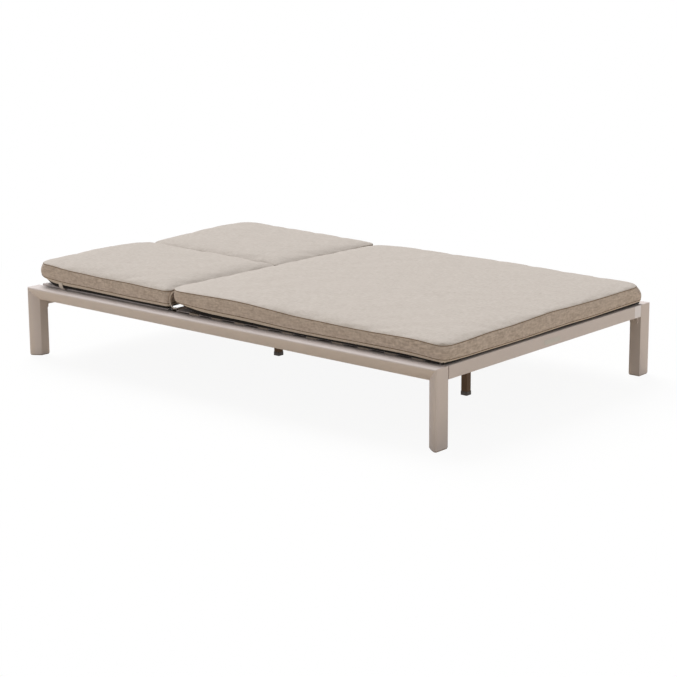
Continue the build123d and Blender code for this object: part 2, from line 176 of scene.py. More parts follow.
def spread(tree, value, low, high, new_low=0.0, new_high=1.0):
    """Maps the range low to high on to a new range, and clips it there."""
    limits = {"From Min": low, "From Max": high, "To Min": new_low, "To Max": new_high}
    return node(tree, "ShaderNodeMapRange", {"Value": value}, limits).outputs[0]


def relief(tree, shader, height, strength, depth_mm):
    """Bump from a height socket into the shader's normal."""
    values = {"Strength": strength, "Distance": depth_mm * MM}
    bump = node(tree, "ShaderNodeBump", {"Height": height}, values)
    tree.links.new(bump.outputs[0], shader.inputs["Normal"])


# %% [markdown]
# ### Powder coated aluminium
# The frame is extruded aluminium under a baked polyester powder, a warm taupe. The powder melts
# into a satin skin with a fine orange peel of about 1.5 mm, and it is a plain dielectric, so it
# isn't metallic. Its film is thicker in places, which only shifts the tone by a few percent.
# The dark brown middle legs and the near black brackets are coated the same way. The bare plate
# on the foot rail is anodised: its matt oxide skin is paler and a little glossier, and the same
# function draws it.

# %% Coated metal
PEEL_STRENGTH = 0.6
PEEL_DEPTH_MM = 0.04
GLOSS_CLOUD_MM = 35.0
GLOSS_SPREAD = 0.1
COAT_IOR = 1.5
COAT_SPECULAR = 0.2


def coated_metal(name, light_hex, dark_hex, roughness, peel_mm=1.5, cloud_mm=90.0):
    """Satin powder coat: a tone that clouds over cloud_mm, and orange peel of peel_mm as bump."""
    made, tree, shader, place = material(name)
    cloud = grain(tree, place, cloud_mm, detail=3.0)
    tone = blend_colours(tree, cloud, linear(dark_hex), linear(light_hex))
    tree.links.new(tone, shader.inputs["Base Color"])
    relief(tree, shader, grain(tree, place, peel_mm, detail=1.0), PEEL_STRENGTH, PEEL_DEPTH_MM)
    gloss = arithmetic(tree, "MULTIPLY_ADD", grain(tree, place, GLOSS_CLOUD_MM), GLOSS_SPREAD,
                       roughness - GLOSS_SPREAD / 2)
    tree.links.new(gloss, shader.inputs["Roughness"])
    shader.inputs["IOR"].default_value = COAT_IOR
    shader.inputs["Specular IOR Level"].default_value = COAT_SPECULAR
    return made


taupe_coat = coated_metal("powder_coated_aluminium_taupe", "DCD2CF", "D4CAC7", 0.58)
plate_coat = coated_metal("anodised_aluminium_bare_plate", "DAD6D1", "CBC7C2", 0.45)
brown_coat = coated_metal("powder_coated_aluminium_brown", "705843", "634C38", 0.55)
dark_coat = coated_metal("powder_coated_steel_dark", "3C3835", "312E2B", 0.55)
print("coats:", taupe_coat.name, plate_coat.name, brown_coat.name, dark_coat.name)

# %% [markdown]
# ### Bare metal, plastic and rubber
# Pins are stainless steel brushed in the lathe, with a fine streak. Glides, shoes and plugs are
# moulded polypropylene with a spark eroded grain. The bumpers are rubber, which is duller. The
# blank label is white polyester film, as even as a moulding, so it is made the same way.

# %% Brushed steel
STREAK_WIDTH_MM = 0.8
STREAK_STRETCH = (15.0, 1.0, 1.0)
STEEL_ROUGHNESS = 0.25
STREAK_ROUGHNESS = 0.15


def brushed_steel(name):
    """Stainless steel: grey metal with streaks 0.8 mm wide and 12 mm long."""
    made, tree, shader, place = material(name)
    streak = grain(tree, place, STREAK_WIDTH_MM, stretch=STREAK_STRETCH)
    tone = blend_colours(tree, streak, linear("9A9893"), linear("BDBBB6"))
    tree.links.new(tone, shader.inputs["Base Color"])
    gloss = arithmetic(tree, "MULTIPLY_ADD", streak, STREAK_ROUGHNESS, STEEL_ROUGHNESS)
    tree.links.new(gloss, shader.inputs["Roughness"])
    shader.inputs["Metallic"].default_value = 1.0
    return made


steel = brushed_steel("stainless_steel_brushed")

# %% Plastic, rubber and film
TONE_CLOUD_MM = 20.0
MOULD_STRENGTH = 0.5
MOULD_DEPTH_MM = 0.05


def moulded(name, light_hex, dark_hex, roughness, ior, grain_mm):
    """Moulded plastic, rubber or film: an even tone, and a fine grain in the bump."""
    made, tree, shader, place = material(name)
    cloud = grain(tree, place, TONE_CLOUD_MM)
    tone = blend_colours(tree, cloud, linear(dark_hex), linear(light_hex))
    tree.links.new(tone, shader.inputs["Base Color"])
    relief(tree, shader, grain(tree, place, grain_mm, detail=1.0), MOULD_STRENGTH, MOULD_DEPTH_MM)
    shader.inputs["Roughness"].default_value = roughness
    shader.inputs["IOR"].default_value = ior
    return made


dark_plastic = moulded("polypropylene_moulded_dark", "453A31", "3A3028", 0.55, 1.49, 0.6)
taupe_plastic = moulded("polypropylene_moulded_taupe", "A89889", "9D8D7F", 0.6, 1.49, 0.6)
black_rubber = moulded("rubber_moulded_black", "2A2826", "201E1D", 0.8, 1.52, 0.8)
blank_film = moulded("polyester_film_blank_label", "F0EBEE", "E8E3E6", 0.45, 1.55, 3.0)
print("mouldings:", dark_plastic.name, taupe_plastic.name, black_rubber.name, blank_film.name)

# %% [markdown]
# ### Heathered outdoor cloth
# The covers are woven from spun acrylic in two greige yarns, so the cloth looks mottled rather
# than striped. Real yarns are about 0.6 mm, too fine to show at this distance, so on the top
# panels the slubs are drawn 5 mm wide and 20 mm long and the weave 2.4 mm. The border bands are
# cut from the same roll and stand upright; their darker, warmer tone is painted shade for those
# upright sides. The piping is painted dark as the shade in the seams. Straps are webbing with a
# finer weave, and the backing is a coarse rubbery mesh, a dark brown made near black as painted
# shade of the gap under the cushion.

# %% Puckers beside the seams
PUCKER_REACH = 11 * MM
PUCKER_WIDTH_MM = 12.0


def pucker(tree, place):
    """Small folds beside the seams: noise that fades as exp(-distance / reach)."""
    reach = node(tree, "ShaderNodeAttribute", attribute_name="seam_reach").outputs["Fac"]
    fade = arithmetic(tree, "EXPONENT", arithmetic(tree, "MULTIPLY", reach, -1 / PUCKER_REACH))
    return arithmetic(tree, "MULTIPLY", grain(tree, place, PUCKER_WIDTH_MM, detail=1.0), fade)


# %% Woven cloth
BOTH_WAYS = ((4.0, 1.0, 1.2), (1.0, 4.0, 1.2))
LENGTHWISE = ((6.0, 6.0, 1.0), (2.0, 2.0, 1.6))
SLUB_RANGE = (0.7, 1.3)
FADED_MM = 140.0
FADED_RANGE = (0.3, 0.7)
FADED_SHARES = (0.15, 0.45)
WEAVE_SHARE = 0.3
PUCKER_SHARE = 5.0
CLOTH_STRENGTH = 0.35
CLOTH_DEPTH_MM = 0.5
CLOTH_SOCKETS = {
    "Roughness": 0.95,
    "IOR": 1.45,
    "Specular IOR Level": 0.2,
    "Sheen Weight": 0.12,
    "Sheen Roughness": 0.5,
}


def woven_cloth(name, light_hex, mid_hex, dark_hex, weave_mm=2.4, slub_mm=5.0, slub_ways=BOTH_WAYS,
                sewn=False):
    """Mottled yarn in two directions, a basket weave in the bump, and soft fuzz as sheen."""
    made, tree, shader, place = material(name)
    slubs = arithmetic(tree, "ADD", *(
        grain(tree, place, slub_mm, detail=3.0, stretch=stretch) for stretch in slub_ways
    ))
    mottle = spread(tree, slubs, *SLUB_RANGE)
    yarn = blend_colours(tree, mottle, linear(dark_hex), linear(light_hex))
    fade = spread(tree, grain(tree, place, FADED_MM), *FADED_RANGE, *FADED_SHARES)
    tone = blend_colours(tree, fade, yarn, linear(mid_hex))
    tree.links.new(tone, shader.inputs["Base Color"])
    parts = node(tree, "ShaderNodeSeparateXYZ", {"Vector": place}).outputs
    waves = [
        arithmetic(tree, "SINE", arithmetic(tree, "MULTIPLY", part, 2 * math.pi / (weave_mm * MM)))
        for part in parts
    ]
    weave = arithmetic(tree, "MULTIPLY", waves[0], waves[1])
    weave = arithmetic(tree, "MULTIPLY_ADD", waves[1], waves[2], weave)
    weave = arithmetic(tree, "MULTIPLY_ADD", waves[0], waves[2], weave)
    height = arithmetic(tree, "MULTIPLY_ADD", weave, WEAVE_SHARE, slubs)
    if sewn:
        height = arithmetic(tree, "MULTIPLY_ADD", pucker(tree, place), PUCKER_SHARE, height)
    relief(tree, shader, height, CLOTH_STRENGTH, CLOTH_DEPTH_MM)
    for socket, value in CLOTH_SOCKETS.items():
        shader.inputs[socket].default_value = value
    return made


top_cloth = woven_cloth("acrylic_cloth_woven_greige", "D7CFC8", "CDC4BC", "C2B9B0", sewn=True)
# The border's darker, warmer tone is painted shade for its upright sides.
border_cloth_painted_shade = woven_cloth("acrylic_cloth_border_painted_shade", "DCCEC4", "C3B5AA", "A4958A",
                           slub_ways=LENGTHWISE, sewn=True)
welt_cloth = woven_cloth("acrylic_cloth_welt_greige", "DBCEC1", "D1C4B6", "C6B8A9", sewn=True)
# The piping's dark tone is painted shade in the seams.
piping_painted_shade_cloth = woven_cloth("acrylic_piping_painted_seam_shade", "8C7966", "816E5B", "75624F", slub_mm=3.0)
webbing_cloth = woven_cloth("polyester_webbing_greige", "EDE4DA", "DFD5CA", "D0C5B9",
                            weave_mm=1.6, slub_mm=2.5)
# The backing is a real dark brown made near black, as painted shade of the gap under the cushion.
backing_painted_shade_cloth = woven_cloth("nonslip_backing_painted_gap_shade", "1B140E", "17110B", "130D08",
                            weave_mm=4.0, slub_mm=3.0)
print("cloths:", top_cloth.name, border_cloth_painted_shade.name, welt_cloth.name, piping_painted_shade_cloth.name,
      webbing_cloth.name, backing_painted_shade_cloth.name)

# %% [markdown]
# ## Turning arrays into pieces
# Every new piece below is worked out as whole arrays of points. One helper puts the arrays into
# a mesh, smooths it, gives it its finish, and ties it to the body that it rides on.

# %% A piece from points and faces
def piece(name, points, faces, finish, body, slot, sharp_degrees=None):
    """A smooth mesh object from points and faces, its faces outward, riding on a body."""
    mesh = bpy.data.meshes.new(name)
    mesh.from_pydata(np.asarray(points, float).reshape(-1, 3).tolist(), [], faces)
    work = bmesh.new()
    work.from_mesh(mesh)
    bmesh.ops.recalc_face_normals(work, faces=work.faces)
    work.to_mesh(mesh)
    work.free()
    mesh.polygons.foreach_set("use_smooth", [True] * len(mesh.polygons))
    if sharp_degrees is not None:
        mesh.set_sharp_from_angle(angle=math.radians(sharp_degrees))
    mesh.materials.append(finish)
    made = placed(name, mesh)
    if body is not None:
        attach(made, body)
    return made


# %% Faces between rings
def skin(rings, around, closed=False):
    """Quads between rings of around points each; the ends are capped, or joined if closed."""
    start = np.arange(rings if closed else rings - 1)[:, None] * around
    here = np.arange(around)[None, :]
    beside = (here + 1) % around
    after = (start + around) % (rings * around)
    quads = np.stack([start + here, start + beside, after + beside, after + here], -1)
    faces = quads.reshape(-1, 4).tolist()
    if not closed:
        faces.append(list(range(around))[::-1])
        faces.append(list(range((rings - 1) * around, rings * around)))
    return faces


def joined(parts):
    """Several (points, faces) pairs as one pair."""
    points = [np.asarray(p, float).reshape(-1, 3) for p, _ in parts]
    starts = np.cumsum([0] + [len(p) for p in points])
    faces = [[i + int(s) for i in face] for s, (_, f) in zip(starts, parts) for face in f]
    return np.concatenate(points), faces


# %% Outlines
def unit(vectors):
    """Vectors divided by their lengths."""
    return vectors / np.linalg.norm(vectors, axis=-1, keepdims=True)


def drawn_in(outline, amount):
    """An outline drawn in towards its middle by about an amount."""
    middle = outline.mean(0)
    reach = np.linalg.norm(outline - middle, axis=1, keepdims=True)
    return middle + (outline - middle) * (1 - amount / reach)


def rounded_outline(low, high, radius, count=6):
    """Outline of a rectangle with round corners, as an array of points."""
    middles = np.array([(high[0] - radius, high[1] - radius), (low[0] + radius, high[1] - radius),
                        (low[0] + radius, low[1] + radius), (high[0] - radius, low[1] + radius)])
    angles = np.linspace(0, np.pi / 2, count)[None, :] + np.arange(4)[:, None] * np.pi / 2
    arcs = np.stack([np.cos(angles), np.sin(angles)], -1) * radius
    return (middles[:, None] + arcs).reshape(-1, 2)


# %% [markdown]
# ## Side frames
# Each side is one extrusion cut into a rail and two legs, joined by mitres. The solids have
# sharp edges, but real extrusions have rounded ones that catch the light. The profile is worked
# out once, with a radius at each corner and a slight bulge on the leaning side, and carried
# along the rail and down both legs. Each cut end is chamfered by a fraction of a millimetre, so
# that the mitre shows as a fine line.

# %% Profile of the side extrusion
rail_low, rail_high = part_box("side_rail_left")
leg_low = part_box("leg_foot_left")[0]
INNER_X = -float(rail_high.x)
TOP_WIDTH = -float(rail_low.x) - INNER_X
PROFILE_DEPTH = float(rail_high.z - rail_low.z)
BOTTOM_WIDTH = 38.5 * MM
SIDE_BULGE = 2.3 * MM
BULGE_POINTS = 12
CORNER_RADII = np.array([1.0, 5.5, 2.5, 1.5]) * MM
CHAMFER = 0.4 * MM
FRAME_TOP = float(rail_high.z)
HALF_LENGTH = float(rail_high.y)
LEG_FOOT = float(leg_low.z)


def corner_arc(before, corner, after, radius, count=6):
    """Points of the arc of a radius that is tangent to both sides of a corner."""
    one, two = unit(before - corner), unit(after - corner)
    half = math.acos(float(np.clip(one @ two, -1, 1))) / 2
    centre = corner + unit(one + two) * radius / math.sin(half)
    start = corner + one * radius / math.tan(half) - centre
    end = corner + two * radius / math.tan(half) - centre
    turn = math.atan2(start[0] * end[1] - start[1] * end[0], start @ end)
    angles = np.linspace(0, turn, count)[:, None]
    side = np.array([-start[1], start[0]])
    return centre + np.cos(angles) * start + np.sin(angles) * side


def side_profile():
    """Rounded outline (u outwards, v down from the top); the leaning side is bulged by
    4 t (1 - t) times the bulge."""
    corners = np.array([
        (0, 0), (TOP_WIDTH, 0), (BOTTOM_WIDTH, PROFILE_DEPTH), (0, PROFILE_DEPTH),
    ])
    parts = [
        corner_arc(corners[i - 1], corners[i], corners[(i + 1) % 4], CORNER_RADII[i])
        for i in range(4)
    ]
    start, end = parts[1][-1], parts[2][0]
    t = np.linspace(0, 1, BULGE_POINTS)[1:-1, None]
    slant = unit(end - start)
    outward = np.array([slant[1], -slant[0]])
    bulged = start + (end - start) * t + outward * 4 * t * (1 - t) * SIDE_BULGE
    return np.concatenate([parts[0], parts[1], bulged, parts[2], parts[3]])


PROFILE = side_profile()
print("profile points:", len(PROFILE))


# %% Rails and legs
def mitred_bar(kind, side, end):
    """Rings of the profile carried along a rail, or down a leg. Both are cut at 45 degrees: at
    depth v from the flush face, the cut lies v further along the bar."""
    full, small = PROFILE, drawn_in(PROFILE, CHAMFER)
    rings = [(small, 0.0), (full, CHAMFER), (full, CHAMFER), (small, 0.0)]
    if kind == "rail":
        along = [-HALF_LENGTH + p[:, 1] + step for p, step in rings[:2]]
        along += [HALF_LENGTH - p[:, 1] - step for p, step in rings[2:]]
        return np.stack([
            np.stack([side * (INNER_X + p[:, 0]), y, FRAME_TOP - p[:, 1]], -1)
            for (p, _), y in zip(rings, along)
        ])
    down = [FRAME_TOP - p[:, 1] - step for p, step in rings[:2]]
    down += [LEG_FOOT + step + 0 * p[:, 1] for p, step in rings[2:]]
    return np.stack([
        np.stack([side * (INNER_X + p[:, 0]), end * (HALF_LENGTH - p[:, 1]), z], -1)
        for (p, _), z in zip(rings, down)
    ])


for side, word in ((-1, "left"), (1, "right")):
    for kind, end, name in (
        ("rail", 0, "side_rail_" + word),
        ("leg", -1, "leg_foot_" + word),
        ("leg", 1, "leg_head_" + word),
    ):
        rings = mitred_bar(kind, side, end)
        made = piece(name + "_shell", rings, skin(len(rings), len(PROFILE)), taupe_coat, "base",
                     "taupe_coated_aluminium", sharp_degrees=40)
        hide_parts(name)
print("side frame pieces: 6")

# %% [markdown]
# ## Foot rail and its plates
# The foot rail is a plain box tube with small rounded edges. At each end a plate stands between
# the tube and the leg, set back a few millimetres, so that a dark slot shows between them, and
# its lower end hangs below the tube. Bevelled boxes would do, but one function that carries a
# rounded outline along an axis makes the rail, the plates and all the flat trim.

# %% Slabs
def slab_between(outline, start, end, axis, bevel):
    """An outline in a plane across an axis, carried from start to end with bevelled rims."""
    small = drawn_in(outline, bevel)
    stations = ((small, start), (outline, start + bevel), (outline, end - bevel), (small, end))
    rings = [np.insert(flat, axis, place, axis=1) for flat, place in stations]
    return np.stack(rings), skin(len(rings), len(outline))


def slab(name, outline, start, end, axis, finish, slot, bevel=0.3 * MM):
    """A slab as a piece that rides on the frame."""
    points, faces = slab_between(outline, start, end, axis, bevel)
    return piece(name, points, faces, finish, "base", slot, sharp_degrees=35)


# %% Foot rail and end plates
rail_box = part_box("foot_rail")
RAIL_LOW = np.array(rail_box[0][:], float)
RAIL_HIGH = np.array(rail_box[1][:], float)
TUBE_RADIUS = 2.5 * MM
PLATE_SETBACK = 11.0 * MM
PLATE_RADIUS = 7.0 * MM

tube_outline = rounded_outline(RAIL_LOW[1:], RAIL_HIGH[1:], TUBE_RADIUS)
tube = slab("foot_rail_tube", tube_outline, RAIL_LOW[0], RAIL_HIGH[0], 0, taupe_coat,
            "taupe_coated_aluminium")
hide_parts("foot_rail")
for word in ("left", "right"):
    plate_low, plate_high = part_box("rail_bracket_foot_" + word)
    outline = rounded_outline((plate_low.y + PLATE_SETBACK, plate_low.z), (plate_high.y, plate_high.z),
                              PLATE_RADIUS)
    plate = slab("end_plate_foot_" + word, outline, plate_low.x, plate_high.x, 0, taupe_coat,
                 "taupe_coated_aluminium")
    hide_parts("rail_bracket_foot_" + word)

PLATE_FACE = float(plate_low.x)
print("foot rail:", [round(v, 3) for v in (RAIL_HIGH - RAIL_LOW).tolist()])

# %% [markdown]
# A bare plate lies on the middle of the rail's face, and a blank label on its right end. The
# label is a little longer than the rail has room for, so its end reaches out over the slot.
# Both start a hair inside the face, so that no gap can open behind them.

# %% Bare plate and blank label
BADGE_SIZE = np.array([96, 17]) * MM
BADGE_MIDDLE = np.array([3, 244]) * MM
BADGE_RADIUS = 3 * MM
BADGE_THICKNESS = 0.7 * MM
BADGE_BEVEL = 0.2 * MM
LABEL_REACH = (37 * MM, 4.6 * MM)
LABEL_MARGIN = 0.8 * MM
LABEL_RADIUS = 1.5 * MM
LABEL_THICKNESS = 0.25 * MM
LABEL_BEVEL = 0.05 * MM
RAIL_FACE = RAIL_LOW[1]
SUNK_FACE = RAIL_FACE + 0.2 * MM

badge_outline = rounded_outline(BADGE_MIDDLE - BADGE_SIZE / 2, BADGE_MIDDLE + BADGE_SIZE / 2, BADGE_RADIUS)
slab("blank_plate_foot_rail", badge_outline, RAIL_FACE - BADGE_THICKNESS, SUNK_FACE, 1,
     plate_coat, "taupe_coated_aluminium", bevel=BADGE_BEVEL)
label_outline = rounded_outline(
    (RAIL_HIGH[0] - LABEL_REACH[0], RAIL_LOW[2] + LABEL_MARGIN),
    (RAIL_HIGH[0] + LABEL_REACH[1], RAIL_HIGH[2] - LABEL_MARGIN),
    LABEL_RADIUS,
)
slab("blank_label_foot_rail", label_outline, RAIL_FACE - LABEL_THICKNESS, SUNK_FACE, 1,
     blank_film, "taupe_plastic", bevel=LABEL_BEVEL)
print("label and plate stand out", LABEL_THICKNESS / MM, "and", BADGE_THICKNESS / MM, "mm")

# %% [markdown]
# Each plate is held by two screws with domed heads, coated with the frame. A head is a dome
# turned about its axis, with a small socket sunk in its middle. A Screw modifier could turn it,
# but a grid of radii and angles gives all eight heads in one mesh.

# %% Screw heads
DOME_RADIUS = 5 * MM
DOME_HEIGHT = 2.6 * MM
DOME_PROFILE = np.array([
    (0.0, 0.45), (0.42, 0.45), (0.46, 0.98), (0.62, 0.93),
    (0.8, 0.78), (0.93, 0.5), (1.0, 0.15), (1.0, 0.0),
])
POLE_SHARE = 0.02
FOOT_SCREW_Y = -977.5 * MM
FOOT_SCREW_SPREAD = 10 * MM
FOOT_SCREW_HEIGHT = 209 * MM
HEAD_SCREW_Y = 963 * MM
HEAD_SCREW_HEIGHTS = (196 * MM, 216 * MM)


def domed_head(centre, side, count=20):
    """The profile (share of radius, share of height) turned about an axis along X. The middle
    is a ring too, of a small share of the radius."""
    angle = np.linspace(0, 2 * np.pi, count, endpoint=False)[None, :]
    radius = np.maximum(DOME_PROFILE[:, :1], POLE_SHARE) * DOME_RADIUS
    x = centre[0] - side * DOME_PROFILE[:, 1:] * DOME_HEIGHT + 0 * angle
    rings = np.stack([x, centre[1] + radius * np.cos(angle), centre[2] + radius * np.sin(angle)], -1)
    return rings, skin(len(DOME_PROFILE), count)


screw_places = [
    (FOOT_SCREW_Y - FOOT_SCREW_SPREAD, FOOT_SCREW_HEIGHT),
    (FOOT_SCREW_Y + FOOT_SCREW_SPREAD, FOOT_SCREW_HEIGHT),
] + [(HEAD_SCREW_Y, height) for height in HEAD_SCREW_HEIGHTS]
heads = [
    domed_head((side * PLATE_FACE, y, z), side) for side in (-1, 1) for y, z in screw_places
]
screws = piece("plate_screw_heads", *joined(heads), taupe_coat, "base", "taupe_coated_aluminium",
               sharp_degrees=40)
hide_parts("bracket_bolts")
print("screw heads:", len(heads))

# %% [markdown]
# The legs stand on moulded glides. Their upper part is pressed into the leg, so only a few
# millimetres show. They are the leg's own profile, drawn in a little, so they fit it all round.

# %% Glides
GLIDE_INSET = 2.5 * MM
GLIDE_ROUNDING = 0.8 * MM
GLIDE_PRESSED_IN = 2 * MM


def glide(side, end):
    """Rings of the drawn in profile from the ground up into a leg; the lowest one is rounded."""
    full, small = drawn_in(PROFILE, GLIDE_INSET), drawn_in(PROFILE, GLIDE_INSET + GLIDE_ROUNDING)
    stations = ((small, 0.0), (full, GLIDE_ROUNDING), (full, LEG_FOOT + GLIDE_PRESSED_IN))
    rings = np.stack([
        np.stack([side * (INNER_X + p[:, 0]), end * (HALF_LENGTH - p[:, 1]), 0 * p[:, 0] + z], -1)
        for p, z in stations
    ])
    return rings, skin(len(rings), len(PROFILE))


glides = piece("leg_glides_moulded", *joined([glide(s, e) for s in (-1, 1) for e in (-1, 1)]),
               taupe_plastic, "base", "taupe_plastic", sharp_degrees=40)
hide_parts("leg_glides")

# %% [markdown]
# The ends of the seat slats sit in plastic holders on the two ledges. The parts of them between
# the slats show under the cushion's edge, and these are small slabs like those above.

# %% Slat holders
SLAT_START = -966 * MM
SLAT_PITCH = 113.1 * MM
SLAT_WIDTH = 64 * MM
SLAT_COUNT = 11
HOLDER_LOW = (560 * MM, 263.2 * MM)
HOLDER_HIGH = (578.5 * MM, 275.0 * MM)
HOLDER_RADIUS = 2 * MM
HOLDER_BEVEL = 0.5 * MM
HOLDER_PLAY = 0.3 * MM

starts = SLAT_START + SLAT_WIDTH + SLAT_PITCH * np.arange(SLAT_COUNT - 1)
holder_outline = rounded_outline(HOLDER_LOW, HOLDER_HIGH, HOLDER_RADIUS, count=4)
holders = [
    slab_between(holder_outline * (side, 1), start + HOLDER_PLAY,
                 start + SLAT_PITCH - SLAT_WIDTH - HOLDER_PLAY, 1, HOLDER_BEVEL)
    for side in (-1, 1) for start in starts
]
piece("slat_holders", *joined(holders), taupe_plastic, "base", "taupe_plastic", sharp_degrees=40)
print("slat holders:", len(holders))

# %% [markdown]
# ## The rest of the frame
# The other measured pieces already have their true shape, so they stay and only get a finish.

# %% Finishes on the measured pieces
SLOT_FINISH = {
    "taupe_coated_aluminium": taupe_coat,
    "brown_coated_aluminium": brown_coat,
    "dark_coated_metal": dark_coat,
    "stainless_steel": steel,
    "taupe_plastic": taupe_plastic,
    "black_plastic": dark_plastic,
    "black_rubber": black_rubber,
    "cushion_fabric": top_cloth,
    "webbing": webbing_cloth,
}
for row in frame["record"]["subparts"]:
    shown = nodes[row["node"]]
    shown.data.materials.clear()
    shown.data.materials.append(SLOT_FINISH[row["material_slot"]])

# %% [markdown]
# ## Cushions
# Each cushion is a box of foam in a sewn cover: a pale top panel, a bottom panel with a dark
# non-slip middle, made near black as painted shade, and a border band painted darker as shade,
# between two piped seams. Its skin is one closed grid of quads, with close rows beside the seams.
# Foam settles unevenly, so the height of each seam follows a table of even stations along each
# edge, and the middle follows nine heights.

# %% Rows of the grid
EDGE_ROWS = np.array([0.0, 2.5, 5.5, 9.0, 13.0, 18.0, 26.0]) * MM


def graded(low, high, step):
    """Coordinates from low to high: close rows by both ends, even ones between."""
    inner = high - low - 2 * EDGE_ROWS[-1]
    count = max(int(round(inner / step)), 2)
    middle = np.linspace(low + EDGE_ROWS[-1], high - EDGE_ROWS[-1], count + 1)[1:-1]
    return np.concatenate([low + EDGE_ROWS, middle, (high - EDGE_ROWS)[::-1]])


# %% Heights along an edge
def through_stations(heights, t):
    """Catmull-Rom curve through even stations: half of 2 b + (c - a) f + (2 a - 5 b + 4 c - d)
    f f + (3 b - a - 3 c + d) f f f, for the four stations a, b, c, d about a point."""
    heights = np.asarray(heights, float) * MM
    ends = 2 * heights[0] - heights[1], 2 * heights[-1] - heights[-2]
    padded = np.concatenate([[ends[0]], heights, [ends[1]]])
    place = np.clip(t, 0, 1) * (len(heights) - 1)
    index = np.minimum(place.astype(int), len(heights) - 2)
    f = place - index
    a, b, c, d = (padded[index + i] for i in range(4))
    return 0.5 * (2 * b + (c - a) * f + (2 * a - 5 * b + 4 * c - d) * f ** 2
                  + (3 * b - a - 3 * c + d) * f ** 3)


def edge_surface(edges, u, v):
    """Coons patch: the blend of left and right, plus that of front and back, less the corners."""
    left, right, front, back = edges
    sides = (1 - u) * through_stations(left, v) + u * through_stations(right, v)
    ends = (1 - v) * through_stations(front, u) + v * through_stations(back, u)
    corners = ((1 - u) * (1 - v) * left[0] + u * (1 - v) * right[0]
               + (1 - u) * v * left[-1] + u * v * right[-1]) * MM
    return sides + ends - corners


# %% Heights of the middle
SLOW_WAVES = 1.1 * MM
QUICK_WAVES = 0.5 * MM


def nine_heights(table, u, v):
    """Smooth surface through a 3 by 3 table of rows from front to back: products of parabolas."""
    def parabolas(a):
        return np.stack([(2 * a - 1) * (a - 1), 4 * a * (1 - a), a * (2 * a - 1)])
    return np.einsum("i...,j...,ji->...", parabolas(u), parabolas(v), np.asarray(table) * MM)


def settled(x, y, phase):
    """Slow waves of foam that has been sat on: two pairs of crossing sines, about 1 mm high, whose
    numbers are turns in radians a metre."""
    slow = np.sin(x * 31 + 2.1 * np.sin(y * 9 + phase)) * np.sin(y * 27 + 1.7 * np.sin(x * 11 - phase))
    quick = np.sin(x * 67 - y * 23 + 2 * phase) * np.sin(y * 59 + x * 17 + phase)
    return SLOW_WAVES * slow + QUICK_WAVES * quick


# %% [markdown]
# ### Top panel
# Foam swells away from the seams over a few centimetres, and the cover rounds the last
# millimetres more steeply where it is pulled over an open edge. So the top falls from the middle
# to the seam by a mix of a long and a short curve. The short one has a larger share beside an
# open side than beside one that meets another cushion, and the sides blend at the corners.

# %% Top panel
LONG_SHOULDER = 34 * MM
SHORT_SHOULDER = 7 * MM
SHORT_SHARES = (0.35, 0.1)
SIDE_BLEND = 20 * MM


def top_panel(middle, seam, edge, inward, sides):
    """Middle plus the rise to the seam times exp(-edge / shoulder), mixed for both shoulders. The
    short one's share is the sides' mean, weighed by exp((edge - distance to side) / blend)."""
    near = np.exp((edge - inward) / SIDE_BLEND)
    short = np.tensordot(np.where(sides, *SHORT_SHARES), near, 1) / near.sum(0)
    gentle, steep = np.exp(-edge / LONG_SHOULDER), np.exp(-edge / SHORT_SHOULDER)
    return middle + (seam - middle) * ((1 - short) * gentle + short * steep)


# %% [markdown]
# ### Underside
# The cushion rests on the slats, and its bottom seam stands higher than its underside. Soon
# behind an open side the dark backing dips down to the level of the slats, and at the foot a few
# millimetres lower still; its near black tone is painted shade for the gap there. Where the fold
# lifts the bottom seam high, the underside goes with it.

# %% Underside
LOW = float(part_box("seat_cushion")[0].z)
LOWEST = 270.8 * MM
UNDER_SHOULDER = 9 * MM
DIP_DEPTH = 20 * MM
DIP_FADE = 4 * MM
SIDE_DIP = (12 * MM, 6 * MM, 275.6 * MM)
FOOT_DIP = (11 * MM, 4 * MM, LOWEST)
LIFT_FROM = 299 * MM
LIFT_RISE = 5 * MM


def underside(seam, edge, inward, dips):
    """Low plane plus the rise to the seam times exp(-edge / shoulder). A dip (place, reach,
    floor) takes off a depth times exp(-((distance - place) / reach) ** 2), down to its floor."""
    under = LOW + (seam - LOW) * np.exp(-edge / UNDER_SHOULDER)
    for distance, dip in zip(inward, dips):
        if dip is not None:
            place, reach, floor = dip
            nearest = np.exp((edge - distance) / DIP_FADE)
            sunk = under - DIP_DEPTH * nearest * np.exp(-((distance - place) / reach) ** 2)
            under = np.where(edge > 0, np.maximum(sunk, np.minimum(under, floor)), under)
    lift = np.clip((seam - LIFT_FROM) / LIFT_RISE, 0, 1)
    return under + np.maximum(seam - under, 0) * lift


# %% [markdown]
# ### Round corners
# The outline of a cushion has round corners. The foam core gives way more at the top than at the
# bottom, so each corner has three radii: at the top seam, at mid height and at the bottom seam.
# The square grid is bent into the round shape, so its rows still follow every edge.

